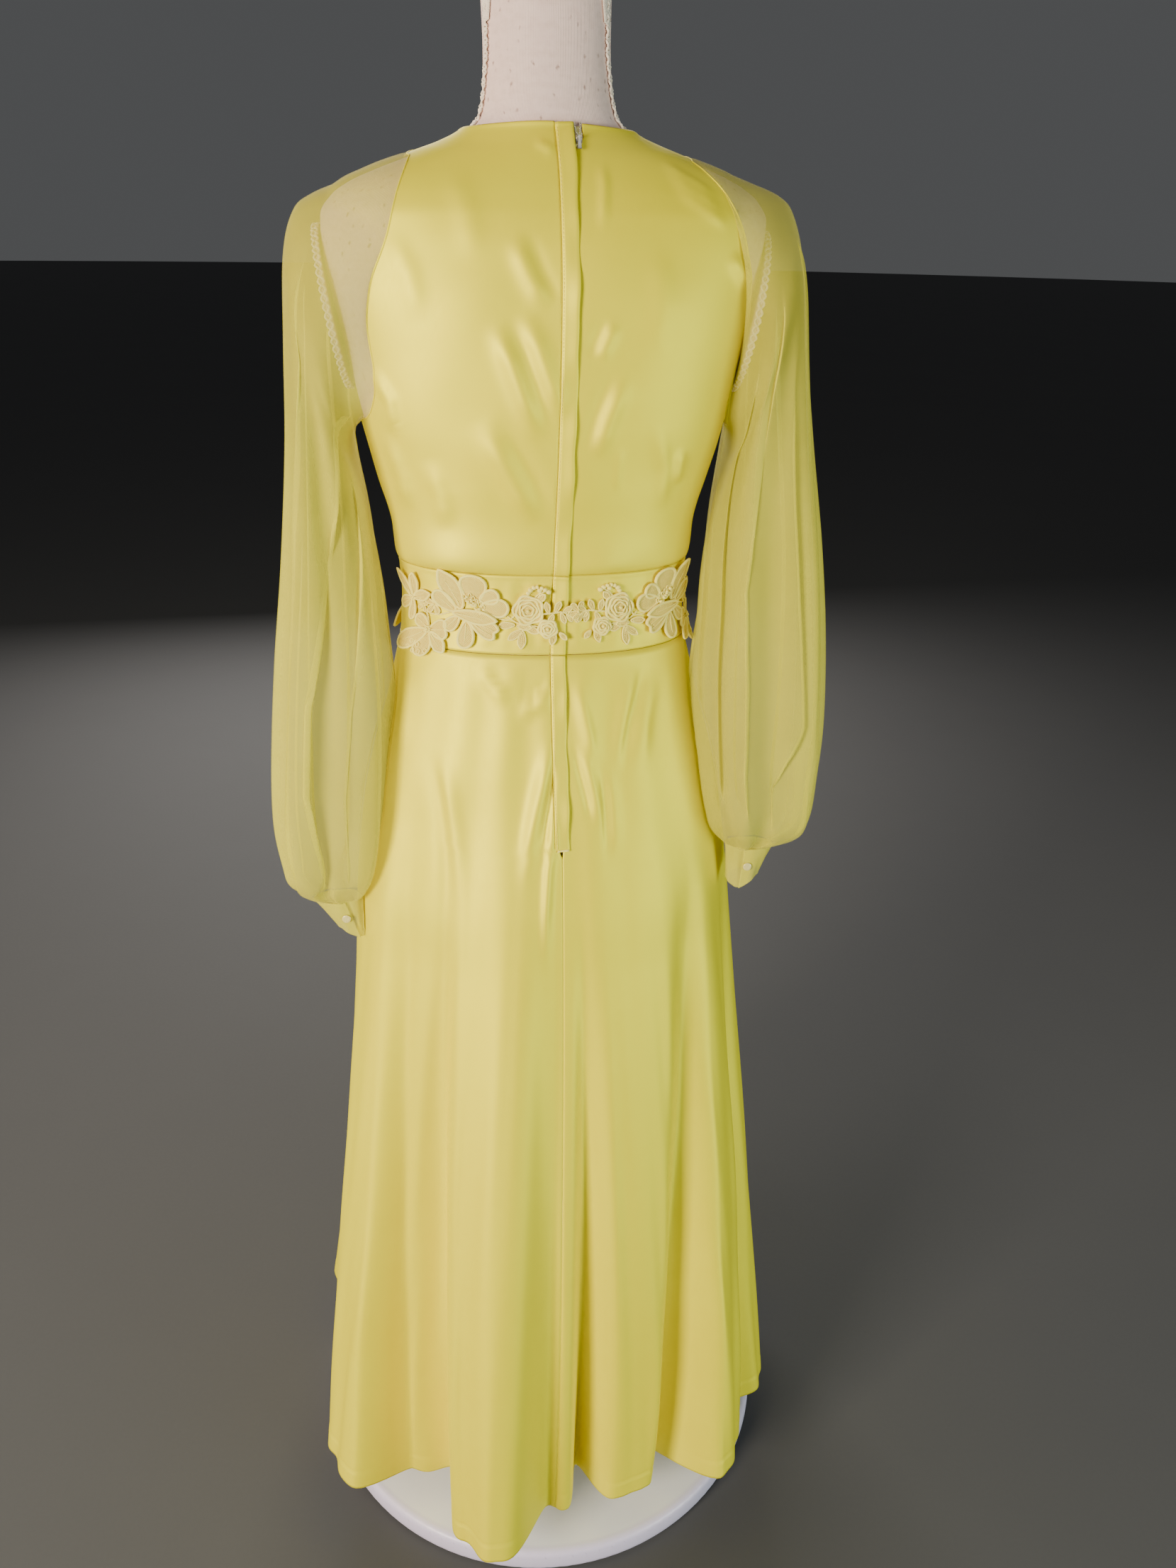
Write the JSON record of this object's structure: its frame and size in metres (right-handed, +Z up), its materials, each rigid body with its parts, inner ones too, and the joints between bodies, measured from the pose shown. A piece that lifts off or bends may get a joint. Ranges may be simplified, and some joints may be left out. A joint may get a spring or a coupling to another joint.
{
  "type": "chiffon maxi dress on a limbless dress form",
  "caption": "Long flared dress with bishop sleeves, a flower-lace waistband and a lapped back zip, worn by a limbless dress form on a round base.",
  "frame": {"origin": "centre of the underside of the round base", "axes": "+Z up, -Y the way the back of the dress faces, +X the right of the dress as seen from behind"},
  "size_m": [0.5697, 0.6266, 1.6063],
  "materials": {
    "satin_knit": "satin-faced knit with a soft sheen",
    "chiffon": "sheer and matt",
    "form_linen": "woven linen with slubs",
    "pole_metal": "brushed",
    "base_enamel": "white enamel",
    "zip_tape": "woven tape",
    "zip_metal": "bright",
    "lace_thread": "cotton lace",
    "button_pearl": "pearly"
  },
  "bodies": {
    "dress_and_form": {"bodice_back_left": "satin_knit", "bodice_back_right": "satin_knit", "bodice_front": "satin_knit", "cuff_button_left": "button_pearl", "cuff_button_right": "button_pearl", "cuff_left": "chiffon", "cuff_right": "chiffon", "form_arm_plate_left": "form_linen", "form_arm_plate_right": "form_linen", "form_base": "base_enamel", "form_neck_cap": "form_linen", "form_pole": "pole_metal", "form_torso": "form_linen", "lace_back_left": "lace_thread", "lace_back_right": "lace_thread", "lace_front_left": "lace_thread", "lace_front_right": "lace_thread", "skirt_back_left": "satin_knit", "skirt_back_right": "satin_knit", "skirt_front": "satin_knit", "sleeve_left": "chiffon", "sleeve_right": "chiffon", "waistband_back_left": "satin_knit", "waistband_back_right": "satin_knit", "waistband_front": "satin_knit", "zip_lap_band": "satin_knit", "zip_lap_bodice": "satin_knit", "zip_lap_skirt": "satin_knit", "zip_slider": "zip_metal", "zip_tape": "zip_tape"},
    "pull_tab": {"zip_pull": "zip_metal"}
  },
  "joints": [
    {"name": "pull_tab_swing", "type": "hinge", "parent": "dress_and_form", "child": "pull_tab", "pos_m": [0.02614, -0.05732, 1.47533], "axis": [-0.9922, -0.0856, 0.0908], "range_deg": [0, 150]}
  ]
}
